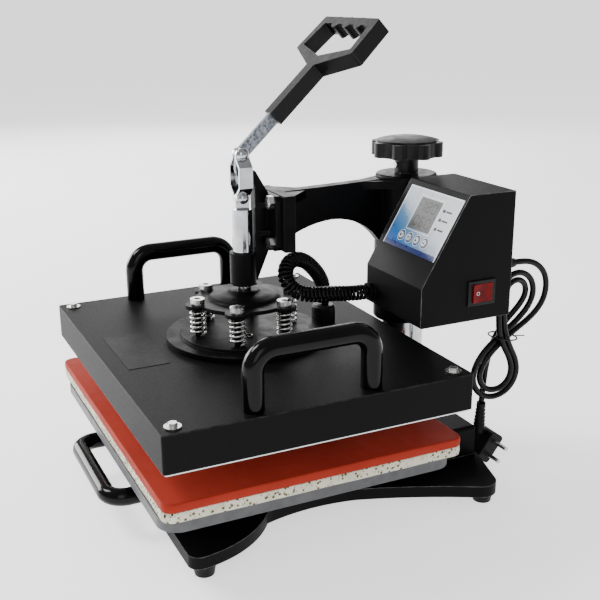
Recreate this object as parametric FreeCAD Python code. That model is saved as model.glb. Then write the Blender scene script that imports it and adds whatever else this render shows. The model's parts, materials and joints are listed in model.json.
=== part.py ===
import FreeCAD, Part
import math
import os

# Swing-away flat heat press. Millimetres, +Z up. X runs left to right for the operator,
# Y runs away from the operator, and the ram axis is x = 0, y = 0 in the drawing frame.

V = FreeCAD.Vector
X_AXIS, Y_AXIS, Z_AXIS = V(1, 0, 0), V(0, 1, 0), V(0, 0, 1)

# ---------------------------------------------------------------- driving sizes
platen_x, platen_y = 380.0, 300.0        # heating platen
stroke = 30.5                            # ram travel from open to closed
closed_gap = 0.5                         # left between platen and rubber when closed
fit = 0.03                               # parts that are pressed, screwed or glued together
running = 0.05                           # shafts that turn or slide in a bore
free = 0.4                               # plain clearance between moving pieces

# base
foot_r, foot_low_r, foot_h = 11.0, 9.0, 12.0
base_sheet = 2.5
skirt_h = 12.0
base_half_x, base_front, base_rear = 178.0, -125.0, 212.5
waist_half_x = 123.0
foot_x, foot_front_y, foot_rear_y = 162.0, -109.0, 187.0
pedestal_half_x, pedestal_front, pedestal_rear = 115.0, -118.0, 211.5
pedestal_h = 32.0

# bed
bed_x, bed_front, bed_rear, bed_t, bed_corner = 360.0, -150.0, 140.0, 10.0, 20.0
pad_x, pad_y, pad_shift, pad_corner = 378.0, 298.0, -8.0, 10.0
foam_t, rubber_t = 9.5, 8.5

# post, carriage and arm
post_y = 188.0
post_r, post_bore_r = 22.5, 18.0
post_top = 272.0
flange_x, flange_y, flange_t = 90.0, 45.0, 6.0
sleeve_r, sleeve_bottom, sleeve_top = 32.5, 147.0, 306.0
sleeve_bore_r, bush_wall, bush_h = 24.0, 3.5, 20.0
cap_t = 15.0
collar_r, collar_h = 18.0, 8.0
spindle_r, spindle_bottom = 8.0, 215.0
nut_h = 16.0
lift_travel = 8.0
arm_half_x, web_half_x, arm_flange_front, arm_flange_back = 32.0, 6.0, 30.6, 43.4
arm_bottom, arm_top = 243.5, 299.5
web_low_y, web_low_z = 92.0, 265.0
head_half_x, head_flange_t = 27.0, 6.0
head_bolt_r, head_bolt_x, head_bolt_low, head_bolt_high = 4.0, 19.0, 251.5, 293.0

# star knob
knob_r, knob_h, knob_bottom, knob_lobes = 38.0, 21.0, 324.0, 8
knob_stem_r = 12.5

# toggle: a crank arm on the lever, two link plates and the ram
crank = stroke / 2
fork_z = 323.25
link_len = 42.5
lever_half_t, lever_w = 2.5, 12.5
cheek_gap, cheek_t, cheek_r = 0.5, 3.0, 4.9
plate_gap, plate_t, plate_end_r, plate_jog, plate_straight = 0.2, 2.5, 7.0, 8.2, 4.0
fork_pin_r, link_pin_r = 2.5, 3.5
lever_lean = 43.5                        # degrees above level at rest, leaning back
lever_len = 60.0
grip_start, grip_neck, grip_end = 48.0, 111.0, 174.0
grip_depth, grip_neck_w = 16.0, 15.0
grip_half_top, grip_half_side, grip_side_at = 55.0, 59.0, 130.0
grip_rim = 9.0

# ram and spider
ram_r, ram_shaft_r = 10.0, 7.25
ram_shoulder, ram_top = 242.6, 285.0
barrel_r, barrel_bottom, barrel_top, barrel_lip = 13.25, 208.0, 241.5, 3.5
spider_bottom, spider_t, spider_hub_top = 190.0, 4.0, 203.0
spider_r, lobe_r, bolt_circle, spring_count = 50.0, 12.0, 50.0, 6
spring_r, spring_wire_r, spring_turns = 7.0, 1.3, 5.5
screw_shank_r, screw_thread_r, screw_head_r, screw_head_h = 3.5, 2.5, 7.2, 5.5
float_travel = 4.0

# platen
cover_top, cover_sheet, cover_h, cover_corner = 152.0, 1.5, 35.0, 3.0
plate_h, plate_show = 14.0, 1.6
disc_r, disc_t, disc_step_r, disc_step_t = 80.0, 6.0, 66.0, 3.0
side_handle_x, side_handle_y1, side_handle_y2 = 174.0, -64.0, 50.0
side_handle_r, side_handle_h, side_handle_bend = 9.75, 53.5, 20.0
corner_screw_in = 14.0
socket_x, socket_y, socket_r, socket_h = -5.0, 92.5, 12.5, 20.0

# front carry handle
front_handle_x, front_handle_reach, front_handle_r, front_handle_bend = 66.0, 48.0, 8.5, 18.0

# control box, its slanted face measured up the slope from its lower edge
box_x0, box_x1, box_sheet = 39.5, 142.5, 1.5
box_bottom, box_top, box_front, box_back = 185.0, 308.0, 120.0, 222.0
slope_low_z, slope_top_y = 224.0, 170.0
overlay_x0, overlay_x1, overlay_s0, overlay_s1, overlay_t = 47.5, 139.5, 27.5, 91.5, 0.6
lcd_x0, lcd_x1, lcd_s0, lcd_s1 = 74.5, 111.0, 50.0, 83.0
button_x, button_pitch, button_s, button_r = 72.0, 13.6, 40.5, 3.4
led_x, led_s, led_r = 118.0, (57.0, 66.5, 76.0), 1.7
switch_y, switch_z, switch_w, switch_h = 187.0, 212.5, 31.0, 25.0
rocker_w, rocker_h, rocker_tilt = 22.4, 18.0, 8.0
pivot_r, pivot_len = 1.2, 1.4
gland_x, gland_z, gland_r = 49.0, 197.5, 9.0

# cords
coil_r = 8.3
mains_r = 3.1
mains_x, mains_z = 118.0, 229.0
relief_len = 22.0

# ---------------------------------------------------------------- heights that follow
skirt_top = foot_h + skirt_h
pedestal_top = skirt_top + pedestal_h
bed_top = pedestal_top + bed_t
foam_top = bed_top + foam_t
rubber_top = foam_top + rubber_t
platen_bottom = rubber_top + stroke + closed_gap
cover_bottom = cover_top - cover_h
disc_top = cover_top + disc_t + disc_step_t
spider_top = spider_bottom + spider_t
crank_z = fork_z + crank
ram_pin_z = crank_z - link_len
slope_len = math.hypot(slope_top_y - box_front, box_top - slope_low_z)
slope_angle = math.degrees(math.atan2(box_top - slope_low_z, slope_top_y - box_front))
nodes = {}


# ---------------------------------------------------------------- helpers
def box(x0, x1, y0, y1, z0, z1):
    return Part.makeBox(x1 - x0, y1 - y0, z1 - z0, V(x0, y0, z0))


def cyl(r, x, y, z0, z1):
    return Part.makeCylinder(r, z1 - z0, V(x, y, z0))


def rod_x(r, x0, x1, y, z):
    return Part.makeCylinder(r, x1 - x0, V(x0, y, z), X_AXIS)


def rod_y(r, x, y0, y1, z):
    return Part.makeCylinder(r, y1 - y0, V(x, y0, z), Y_AXIS)


def fuse(shapes):
    first, rest = shapes[0], shapes[1:]
    return first.fuse(rest).removeSplitter() if rest else first


def group(shapes):
    return Part.makeCompound(shapes)


def prism(points, direction):
    """A closed outline of straight edges, pushed along a direction."""
    wire = Part.makePolygon(points + [points[0]])
    return Part.Face(wire).extrude(direction)


def rounded_box(x0, x1, y0, y1, z0, z1, r):
    """A plate with round vertical corners."""
    body = box(x0, x1, y0, y1, z0, z1)
    upright = [e for e in body.Edges if abs(e.tangentAt(e.FirstParameter).z) > 0.99]
    return body.makeFillet(r, upright)


def revolved(profile):
    """A closed profile of (radius, z) points turned about the ram axis."""
    points = [V(r, 0, z) for r, z in profile]
    face = Part.Face(Part.makePolygon(points + [points[0]]))
    return face.revolve(V(0, 0, 0), Z_AXIS, 360)


def route_wire(points, radii):
    """Straight runs through the points, joined by tangent arcs of the given radii."""
    edges, start = [], points[0]
    for before, corner, after, r in zip(points, points[1:], points[2:], radii):
        a = (before - corner).normalize()
        b = (after - corner).normalize()
        half = (math.pi - a.getAngle(b)) / 2
        cut = r * math.tan(half)
        p, q = corner + a * cut, corner + b * cut
        centre = corner + (a + b).normalize() * (r / math.cos(half))
        middle = centre + (corner - centre).normalize() * r
        edges.append(Part.LineSegment(start, p).toShape())
        edges.append(Part.Arc(p, middle, q).toShape())
        start = q
    edges.append(Part.LineSegment(start, points[-1]).toShape())
    return Part.Wire(edges)


def tube_along(wire, r):
    start = wire.Edges[0]
    at = start.FirstParameter
    ring = Part.Wire(Part.makeCircle(r, start.valueAt(at), start.tangentAt(at)))
    return wire.makePipeShell([ring], True, False, 0)


def cord_radii(points):
    """Each bend as large as its two runs allow."""
    radii = []
    for before, corner, after in zip(points, points[1:], points[2:]):
        a, b = before - corner, after - corner
        half = (math.pi - a.getAngle(b)) / 2
        radii.append(0.45 * min(a.Length, b.Length) / math.tan(half))
    return radii


def cord(name, points, r):
    """The plain tube of a free cord, with its size checks printed."""
    points = [V(*p) for p in points]
    radii = cord_radii(points)
    wire = route_wire(points, radii)
    tube = tube_along(wire, r)
    share = tube.Volume / (math.pi * r * r * wire.Length)
    print(name, "length", round(wire.Length, 1), "volume share", round(share, 4),
          "radii", [round(x) for x in radii])
    return tube


def on_slope(shape):
    """Takes a shape drawn flat (x, up the slope, outward) to the control box's slanted face."""
    shape.rotate(V(0, 0, 0), X_AXIS, slope_angle)
    shape.translate(V(0, box_front, slope_low_z))
    return shape


def along_lever(shape):
    """Takes a shape drawn with +Y along the lever from the upper link pin to its resting lean."""
    shape.rotate(V(0, 0, 0), X_AXIS, lever_lean)
    shape.translate(V(0, 0, crank_z))
    return shape


# ---------------------------------------------------------------- base
def half_outline():
    """The right half of the base outline: a lobe at each corner and a waist between them."""
    x, y0, y1, w = base_half_x, base_front, base_rear, waist_half_x
    front, front_tip = V(x - 13, y0, 0), V(x - 3, y0 + 12, 0)
    waist_in, waist_out = V(w + 7, y0 + 91, 0), V(w + 5, y0 + 187, 0)
    rear_tip, rear = V(x - 1, y1 - 40, 0), V(x - 12, y1 - 14, 0)
    rear_in = V(pedestal_half_x + 3, y1, 0)
    pieces = [
        Part.LineSegment(V(0, y0, 0), front),
        Part.Arc(front, V(x - 5.5, y0 + 4, 0), front_tip),
        Part.Arc(front_tip, V(x - 17, y0 + 57, 0), waist_in),
        Part.Arc(waist_in, V(w, y0 + 135, 0), waist_out),
        Part.Arc(waist_out, V(w + 27, y0 + 244, 0), rear_tip),
        Part.Arc(rear_tip, V(x, y1 - 23, 0), rear),
        Part.LineSegment(rear, rear_in),
        Part.LineSegment(rear_in, V(0, y1, 0)),
    ]
    return [piece.toShape() for piece in pieces]


def make_base_plate():
    right = half_outline()
    left = [e.mirror(V(0, 0, 0), X_AXIS) for e in right]
    wire = Part.Wire(Part.__sortEdges__(right + left))
    face = Part.Face(wire)
    body = face.extrude(V(0, 0, skirt_h))
    inner = Part.Face(wire.makeOffset2D(-base_sheet)).extrude(V(0, 0, skirt_h - base_sheet))
    body = body.cut(inner)
    body.translate(V(0, 0, foot_h))
    return body


def foot_places():
    return [(s * foot_x, y) for s in (-1, 1) for y in (foot_front_y, foot_rear_y)]


def make_feet():
    feet = []
    top = skirt_top - base_sheet
    for x, y in foot_places():
        pad = Part.makeCone(foot_low_r, foot_r, foot_h, V(x, y, 0))
        feet.append(fuse([pad, cyl(foot_low_r - 2, x, y, foot_h, top)]))
    return group(feet)


def make_pedestal():
    outer = box(-pedestal_half_x, pedestal_half_x, pedestal_front, pedestal_rear, skirt_top, pedestal_top)
    edges = [e for e in outer.Edges if e.BoundBox.ZMax > skirt_top + 1]
    outer = outer.makeFillet(4.0, edges)
    w = base_sheet
    inner = box(-pedestal_half_x + w, pedestal_half_x - w, pedestal_front + w, pedestal_rear - w,
                skirt_top, pedestal_top - w)
    edges = [e for e in inner.Edges if e.BoundBox.ZMax > skirt_top + 1]
    return outer.cut(inner.makeFillet(4.0 - w, edges))


def make_front_handle():
    z = skirt_top + pedestal_h / 2 - 3
    y0, y1 = pedestal_front, pedestal_front - front_handle_reach
    x = front_handle_x
    points = [V(-x, y0, z), V(-x, y1, z), V(x, y1, z), V(x, y0, z)]
    return tube_along(route_wire(points, [front_handle_bend] * 2), front_handle_r)


nodes["base_plate"] = make_base_plate()
nodes["rubber_feet"] = make_feet()
nodes["pedestal"] = make_pedestal()
nodes["front_handle"] = make_front_handle()


# ---------------------------------------------------------------- bed
bed_half = bed_x / 2
nodes["bed_plate"] = rounded_box(-bed_half, bed_half, bed_front, bed_rear, pedestal_top, bed_top, bed_corner)


def make_pad(z0, z1):
    x0, x1 = pad_shift - pad_x / 2, pad_shift + pad_x / 2
    return rounded_box(x0, x1, -pad_y / 2, pad_y / 2, z0, z1, pad_corner)


nodes["foam_pad"] = make_pad(bed_top, foam_top)
nodes["silicone_pad"] = make_pad(foam_top, rubber_top)


# ---------------------------------------------------------------- post and lift screw
flange_bolts = [(s * (flange_x / 2 - 10), post_y + t * 11) for s in (-1, 1) for t in (-1, 1)]
post_foot = pedestal_top + flange_t


def make_post():
    flange = rounded_box(-flange_x / 2, flange_x / 2, post_y - flange_y / 2, post_y + flange_y / 2,
                         pedestal_top, post_foot, 6.0)
    body = fuse([flange, cyl(post_r, 0, post_y, post_foot, post_top)])
    return body.cut(cyl(post_bore_r, 0, post_y, pedestal_top, post_top))


def hexagon_head(r, h, x, y, z):
    points = [V(x + r * math.cos(math.radians(60 * i)), y + r * math.sin(math.radians(60 * i)), z)
              for i in range(6)]
    return prism(points, V(0, 0, h))


nodes["post"] = make_post()
nodes["post_bolts"] = group([hexagon_head(5.5, 4.5, x, y, post_foot) for x, y in flange_bolts])

nut_bore = cyl(spindle_r + running, 0, post_y, post_top - nut_h, post_top)
nodes["post_nut"] = cyl(post_bore_r - fit, 0, post_y, post_top - nut_h, post_top).cut(nut_bore)

cap_bottom = sleeve_top - cap_t
collar_bore = cyl(spindle_r + running, 0, post_y, cap_bottom - collar_h - 1, cap_bottom)
collar = cyl(collar_r, 0, post_y, cap_bottom - collar_h, cap_bottom - running)
nodes["thrust_collar"] = collar.cut(collar_bore)


# ---------------------------------------------------------------- swing arm
def make_arm():
    """A thin curved web from the bolted flange to the sleeve that turns on the post."""
    y0, y1, y2 = arm_flange_front, arm_flange_back, post_y
    flange = box(-arm_half_x, arm_half_x, y0, y1, arm_bottom, arm_top)
    flange = flange.makeFillet(2.5, [e for e in flange.Edges if e.BoundBox.YMax < y0 + 0.1])
    low = V(0, web_low_y, web_low_z)
    outline = [
        Part.LineSegment(V(0, y1 - 2, arm_bottom + 4), V(0, y1 - 2, arm_top)),
        Part.Arc(V(0, y1 - 2, arm_top), V(0, web_low_y, arm_top + 1), V(0, 152, arm_top + 3)),
        Part.LineSegment(V(0, 152, arm_top + 3), V(0, y2, arm_top + 4)),
        Part.LineSegment(V(0, y2, arm_top + 4), V(0, y2, 215)),
        Part.LineSegment(V(0, y2, 215), V(0, 153, 237)),
        Part.Arc(V(0, 153, 237), V(0, 124, 260), low),
        Part.Arc(low, V(0, 66, 259.5), V(0, y1 - 2, arm_bottom + 4)),
    ]
    face = Part.Face(Part.Wire([piece.toShape() for piece in outline]))
    web = face.extrude(V(2 * web_half_x, 0, 0))
    web.translate(V(-web_half_x, 0, 0))
    gussets = []
    for side in (-1, 1):
        plan = [V(0, y1 - 1, arm_top - 9), V(side * (arm_half_x - 2), y1 - 1, arm_top - 9),
                V(side * web_half_x, y1 + 24, arm_top - 9), V(0, y1 + 24, arm_top - 9)]
        gussets.append(prism(plan, V(0, 0, 8.5)))
        plan = [V(0, y2 - 56, arm_top - 6), V(side * web_half_x, y2 - 56, arm_top - 6),
                V(side * 22, y2 - 20, arm_top - 6), V(0, y2 - 20, arm_top - 6)]
        gussets.append(prism(plan, V(0, 0, 8)))
    sleeve = cyl(sleeve_r, 0, y2, sleeve_bottom, sleeve_top)
    rims = [e for e in sleeve.Edges if abs(e.BoundBox.ZLength) < 0.01]
    arm = fuse([web, flange, sleeve.makeFillet(3.0, rims)] + gussets)
    arm = arm.cut(cyl(sleeve_bore_r, 0, y2, sleeve_bottom - 1, cap_bottom))
    for z in bush_places():
        arm = arm.cut(cyl(post_r + running + bush_wall, 0, y2, z - fit, z + bush_h + fit))
    arm = arm.cut(cyl(spindle_r + free, 0, y2, cap_bottom - 1, sleeve_top + 1))
    for x, z in head_bolt_places():
        arm = arm.cut(rod_y(head_bolt_r + fit, x, y0 - 1, y1 - 1, z))
    return arm


def bush_places():
    return sleeve_bottom + 2, post_top - bush_h - 2


def head_bolt_places():
    return [(x, z) for x in (-head_bolt_x, head_bolt_x) for z in (head_bolt_low, head_bolt_high)]


def make_bushes():
    rings = []
    for z in bush_places():
        ring = cyl(post_r + running + bush_wall - fit, 0, post_y, z, z + bush_h)
        rings.append(ring.cut(cyl(post_r + running, 0, post_y, z, z + bush_h)))
    return group(rings)


nodes["swing_arm"] = make_arm()
nodes["sleeve_bushes"] = make_bushes()


# ---------------------------------------------------------------- head casting
def make_head():
    """Flange, guide barrel and the rear rib that carries the two fork cheeks."""
    y1 = arm_flange_front
    y0 = y1 - head_flange_t
    flange = box(-head_half_x, head_half_x, y0, y1, arm_bottom + 0.5, arm_top - 0.5)
    flange = flange.makeFillet(5.0, [e for e in flange.Edges if abs(e.tangentAt(e.FirstParameter).y) > 0.99])
    barrel = cyl(barrel_r, 0, 0, barrel_bottom, barrel_top)
    barrel = barrel.makeChamfer(1.2, [e for e in barrel.Edges if e.BoundBox.ZMax < barrel_bottom + 0.1])
    half = lever_half_t + cheek_gap + cheek_t
    outline = [
        V(-half, 3, barrel_bottom + 2), V(-half, 13, barrel_bottom + 4),
        V(-half, y0 + 2, arm_bottom), V(-half, y0 + 2, arm_top - 1),
        V(-half, 13.5, fork_z - 2), V(-half, 12, fork_z - 2),
        V(-half, 11.5, barrel_top), V(-half, 3, barrel_top),
    ]
    rib = prism(outline, V(2 * half, 0, 0))
    cheeks = []
    for side in (-1, 1):
        x0, x1 = sorted((side * (lever_half_t + cheek_gap), side * half))
        cheeks.append(rod_x(cheek_r, x0, x1, 0, fork_z))
        arm = [V(x0, 0, fork_z + cheek_r), V(x0, 0, fork_z - cheek_r), V(x0, 13, fork_z - 16),
               V(x0, 16, fork_z - 10), V(x0, 13, fork_z - 1)]
        cheeks.append(prism(arm, V(x1 - x0, 0, 0)))
    gussets = []
    for side in (-1, 1):
        for z in (arm_bottom + 14, arm_top - 14):
            plan = [V(side * half, 13, z), V(side * half, y0 + 1, z), V(side * (half + 6), y0 + 1, z)]
            gussets.append(prism(plan, V(0, 0, 5)))
    body = fuse([flange, barrel, rib] + cheeks + gussets)
    body = body.cut(cyl(ram_r + running, 0, 0, barrel_bottom + barrel_lip, barrel_top + 1))
    body = body.cut(cyl(ram_shaft_r + running, 0, 0, barrel_bottom - 1, barrel_bottom + barrel_lip))
    body = body.cut(rod_x(fork_pin_r + fit, -20, 20, 0, fork_z))
    for x, z in head_bolt_places():
        body = body.cut(rod_y(head_bolt_r + fit, x, y0 - 1, y1 + 1, z))
    return body


def make_head_bolts():
    """Hexagon bolts through the head's flange, screwed into the arm's."""
    bolts = []
    face = arm_flange_front - head_flange_t
    for x, z in head_bolt_places():
        head = hexagon_head(7.0, 5.5, 0, 0, 0)
        head.rotate(V(0, 0, 0), X_AXIS, 90)
        head.translate(V(x, face, z))
        bolts.append(fuse([head, rod_y(head_bolt_r, x, face, arm_flange_back - 2, z)]))
    return group(bolts)


nodes["head_casting"] = make_head()
nodes["head_bolts"] = make_head_bolts()
pin_half = lever_half_t + cheek_gap + cheek_t
nodes["fork_pin"] = rod_x(fork_pin_r, -pin_half, pin_half, 0, fork_z)


# ---------------------------------------------------------------- lever and grip
def make_lever():
    """The flat bar: an eye on the fork pin, an eye on the upper link pin, then the bent-back bar."""
    t = lever_half_t
    bar = along_lever(box(-t, t, 0, lever_len, -lever_w / 2, lever_w / 2))
    web = box(-t, t, -lever_w / 2, lever_w / 2, fork_z, crank_z)
    eyes = [rod_x(lever_w / 2, -t, t, 0, fork_z), rod_x(plate_end_r, -t, t, 0, crank_z)]
    body = fuse([bar, web] + eyes)
    body = body.cut(rod_x(fork_pin_r + running, -t, t, 0, fork_z))
    return body.cut(rod_x(link_pin_r + running, -t, t, 0, crank_z))


def make_grip():
    """A D-shaped hand grip drawn flat in x and y, then laid along the lever."""
    d = grip_depth / 2
    shoulder = grip_half_side
    neck = grip_neck_w / 2
    outer = [V(-neck, grip_start, -d), V(neck, grip_start, -d), V(neck, grip_neck, -d),
             V(shoulder, grip_side_at, -d), V(grip_half_top, grip_end, -d),
             V(-grip_half_top, grip_end, -d), V(-shoulder, grip_side_at, -d), V(-neck, grip_neck, -d)]
    body = prism(outer, V(0, 0, grip_depth))
    inside = shoulder - grip_rim
    top = grip_end - grip_rim
    window = prism([V(0, grip_neck + 12, -d), V(inside, grip_side_at + 5, -d),
                    V(inside - 5, top, -d), V(5 - inside, top, -d), V(-inside, grip_side_at + 5, -d)],
                   V(0, 0, grip_depth))
    body = body.cut(window)
    ridges = [cyl(7.0, x, top + 2.5, -d, d) for x in (-22.0, 1.0, 24.0)]
    body = fuse([body] + ridges)
    sides = [e for e in body.Edges
             if abs(e.tangentAt(e.FirstParameter).z) > 0.99 and e.BoundBox.YMin > grip_start + 1
             and abs(e.BoundBox.XMin) > grip_half_top - 12]
    body = body.makeFillet(2.5, sides)
    half_t, half_w = lever_half_t + fit, lever_w / 2 + fit
    pocket = box(-half_t, half_t, grip_start, lever_len + 1, -half_w, half_w)
    return along_lever(body.cut(pocket))


nodes["lever_bar"] = make_lever()
nodes["hand_grip"] = make_grip()


# ---------------------------------------------------------------- toggle links
def link_plate(side):
    """A flat plate that steps outwards between its two ends to clear the fork."""
    x0 = lever_half_t + plate_gap
    x1 = x0 + plate_jog
    half, hold = plate_end_r, plate_straight
    low, high = ram_pin_z + hold, crank_z - hold
    inner = [(x0, ram_pin_z - half), (x0, low), (x1, low + plate_jog), (x1, high - plate_jog), (x0, high),
             (x0, crank_z + half)]
    bend = plate_t * math.tan(math.radians(22.5))
    x0, x1 = x0 + plate_t, x1 + plate_t
    outer = [(x0, ram_pin_z - half), (x0, low - bend), (x1, low + plate_jog - bend),
             (x1, high - plate_jog + bend), (x0, high + bend), (x0, crank_z + half)]
    points = inner + outer[::-1]
    body = prism([V(side * x, -half, z) for x, z in points], V(0, 2 * half, 0))
    ends = fuse([rod_x(half, -20, 20, 0, crank_z), rod_x(half, -20, 20, 0, ram_pin_z),
                 box(-20, 20, -half, half, ram_pin_z, crank_z)])
    body = body.common(ends)
    body = body.cut(rod_x(link_pin_r + fit, -20, 20, 0, crank_z))
    return body.cut(rod_x(link_pin_r + fit, -20, 20, 0, ram_pin_z))


def domed_end(r, h, side, x, z):
    """A low rivet dome that stands out of a plate face."""
    ball_r = (r * r + h * h) / (2 * h)
    ball = Part.makeSphere(ball_r, V(side * (x - ball_r + h), 0, z))
    keep = rod_x(r, 0, h, 0, z)
    keep.translate(V(x if side > 0 else -x - h, 0, 0))
    return ball.common(keep)


plate_out = lever_half_t + plate_gap + plate_t
plates = {side: link_plate(side) for side in (-1, 1)}


def rivet_dome(r, h, side, z):
    """A dome formed against the plate, so it stops where the plate steps outwards."""
    return domed_end(r, h, side, plate_out, z).cut(plates[side])


def lower_pin(side):
    x0, x1 = sorted((side * (plate_out - plate_t), side * plate_out))
    return fuse([rod_x(link_pin_r, x0, x1, 0, ram_pin_z), rivet_dome(5.5, 4.0, side, ram_pin_z)])


nodes["link_plate_right"] = plates[1]
nodes["link_plate_left"] = plates[-1]
nodes["upper_link_pin"] = fuse([rod_x(link_pin_r, -plate_out, plate_out, 0, crank_z),
                                rivet_dome(6.6, 4.5, 1, crank_z), rivet_dome(6.6, 4.5, -1, crank_z)])
nodes["lower_link_pins"] = group([lower_pin(-1), lower_pin(1)])


# ---------------------------------------------------------------- ram and spider
def make_ram():
    tang = fuse([box(-lever_half_t, lever_half_t, -7, 7, ram_top - 1, ram_pin_z),
                 rod_x(7.0, -lever_half_t, lever_half_t, 0, ram_pin_z)])
    return fuse([cyl(ram_shaft_r, 0, 0, spider_bottom, ram_shoulder),
                 cyl(ram_r, 0, 0, ram_shoulder, ram_top), tang])


def spring_places():
    return [(bolt_circle * math.cos(math.radians(a)), bolt_circle * math.sin(math.radians(a)))
            for a in range(30, 390, 360 // spring_count)]


def make_spider():
    dome = revolved([(0, spider_top), (38, spider_top), (34, spider_top + 3), (26, spider_top + 5.5),
                     (17, spider_hub_top - 2), (14, spider_hub_top), (0, spider_hub_top)])
    lobes = [cyl(lobe_r, x, y, spider_bottom, spider_top) for x, y in spring_places()]
    body = fuse([cyl(spider_r, 0, 0, spider_bottom, spider_top), dome] + lobes)
    body = body.cut(cyl(ram_shaft_r + fit, 0, 0, spider_bottom, spider_hub_top))
    holes = [cyl(screw_shank_r + free, x, y, spider_bottom, spider_top) for x, y in spring_places()]
    return body.cut(group(holes))


def make_shoulder_screws():
    screws = []
    for x, y in spring_places():
        head = cyl(screw_head_r, x, y, spider_top, spider_top + screw_head_h)
        head = head.cut(hexagon_head(3.4, 4.0, x, y, spider_top + screw_head_h - 3.5))
        shank = cyl(screw_shank_r, x, y, disc_top, spider_top)
        thread = cyl(screw_thread_r, x, y, cover_top + 1, disc_top)
        screws.append(fuse([head, shank, thread]))
    return group(screws)


def make_springs():
    coils = []
    z0 = disc_top + spring_wire_r + 0.05
    height = spider_bottom - disc_top - 2 * spring_wire_r - 0.1
    helix = Part.makeHelix(height / spring_turns, height, spring_r)
    ring = Part.Wire(Part.makeCircle(spring_wire_r, V(spring_r, 0, 0), Y_AXIS))
    coil = helix.makePipeShell([ring], True, True)
    for x, y in spring_places():
        coils.append(coil.translated(V(x, y, z0)))
    return group(coils)


nodes["ram"] = make_ram()
nodes["spider_plate"] = make_spider()
nodes["shoulder_screws"] = make_shoulder_screws()
nodes["platen_springs"] = make_springs()


# ---------------------------------------------------------------- platen
half_x, half_y = platen_x / 2, platen_y / 2


def make_cover():
    outer = rounded_box(-half_x, half_x, -half_y, half_y, cover_bottom, cover_top, cover_corner)
    w = cover_sheet
    rim = [e for e in outer.Edges if e.BoundBox.ZMin > cover_top - 0.01]
    outer = outer.makeFillet(1.0, rim)
    in_x, in_y = half_x - w, half_y - w
    inner = rounded_box(-in_x, in_x, -in_y, in_y, cover_bottom, cover_top - w, cover_corner - w)
    return outer.cut(inner)


def plate_block(inset, z0, z1):
    return rounded_box(-half_x + inset, half_x - inset, -half_y + inset, half_y - inset, z0, z1, 2.0)


def make_disc():
    rim = cyl(disc_r, 0, 0, cover_top, cover_top + disc_t)
    body = fuse([rim, cyl(disc_step_r, 0, 0, cover_top, disc_top)])
    holes = [cyl(screw_thread_r + fit, x, y, cover_top, disc_top) for x, y in spring_places()]
    return body.cut(group(holes))


def make_cover_screws():
    screws = []
    for sx in (-1, 1):
        for sy in (-1, 1):
            x, y = sx * (half_x - corner_screw_in), sy * (half_y - corner_screw_in)
            washer = cyl(7.5, x, y, cover_top, cover_top + 1.2)
            head = hexagon_head(4.2, 3.0, x, y, cover_top + 1.2)
            screws.append(fuse([washer, head]))
    return group(screws)


def make_side_handle(side):
    x = side * side_handle_x
    z0, z1 = cover_top, cover_top + side_handle_h
    y0, y1 = side_handle_y1, side_handle_y2
    points = [V(x, y0, z0), V(x, y0, z1), V(x, y1, z1), V(x, y1, z0)]
    return tube_along(route_wire(points, [side_handle_bend] * 2), side_handle_r)


def make_socket():
    body = cyl(socket_r, socket_x, socket_y, cover_top, cover_top + socket_h)
    top = [e for e in body.Edges if e.BoundBox.ZMin > cover_top + socket_h - 0.01]
    return body.makeFillet(3.0, top)


nodes["platen_cover"] = make_cover()
nodes["heating_plate"] = plate_block(cover_sheet + 0.5, platen_bottom, platen_bottom + plate_h)
nodes["insulation_blanket"] = plate_block(cover_sheet + 2, platen_bottom + plate_h, cover_top - cover_sheet)
nodes["pressure_disc"] = make_disc()
nodes["cover_screws"] = make_cover_screws()
nodes["side_handle_left"] = make_side_handle(-1)
nodes["side_handle_right"] = make_side_handle(1)
nodes["cable_socket"] = make_socket()
nodes["data_plate"] = box(-57, 39, -133.5, -93, cover_top, cover_top + 0.4)


# ---------------------------------------------------------------- star knob
def make_knob():
    """A domed head with round lobes on a stem, bored for the lift screw."""
    body = cyl(knob_r - 5, 0, 0, knob_bottom, knob_bottom + knob_h - 6)
    lobes = []
    for i in range(knob_lobes):
        a = 2 * math.pi * i / knob_lobes
        lobes.append(cyl(8.5, (knob_r - 8.5) * math.cos(a), (knob_r - 8.5) * math.sin(a),
                         knob_bottom, knob_bottom + knob_h - 6))
    ball_r = 120.0
    dome = Part.makeSphere(ball_r, V(0, 0, knob_bottom + knob_h - ball_r))
    under = cyl(knob_r + 1, 0, 0, knob_bottom, knob_bottom + knob_h)
    head = fuse([body.fuse(cyl(knob_r - 7, 0, 0, knob_bottom, knob_bottom + knob_h))] + lobes)
    head = head.common(dome.common(under))
    knob = fuse([head, cyl(knob_stem_r, 0, 0, sleeve_top + 1, knob_bottom + 1)])
    knob = knob.cut(cyl(spindle_r + fit, 0, 0, sleeve_top, knob_bottom + 8))
    knob = knob.cut(rod_y(3.0 + fit, 0, -knob_stem_r - 1, -7, sleeve_top + 9))
    knob.translate(V(0, post_y, 0))
    return knob


def make_knob_screw():
    """The set screw that holds the knob, on the operator's side of the stem."""
    return rod_y(3.0, 0, post_y - knob_stem_r - 1.8, post_y - spindle_r - fit, sleeve_top + 9)


nodes["star_knob"] = make_knob()
nodes["lift_screw"] = cyl(spindle_r, 0, post_y, spindle_bottom, knob_bottom + 8)
nodes["knob_set_screw"] = make_knob_screw()


# ---------------------------------------------------------------- control box
def slope_plate(x0, x1, s0, s1, n0, n1):
    return on_slope(box(x0, x1, s0, s1, n0, n1))


def slope_rod(x, s, r, n0, n1):
    return on_slope(cyl(r, x, s, n0, n1))


def button_places():
    return [button_x + i * button_pitch for i in range(4)]


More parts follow.
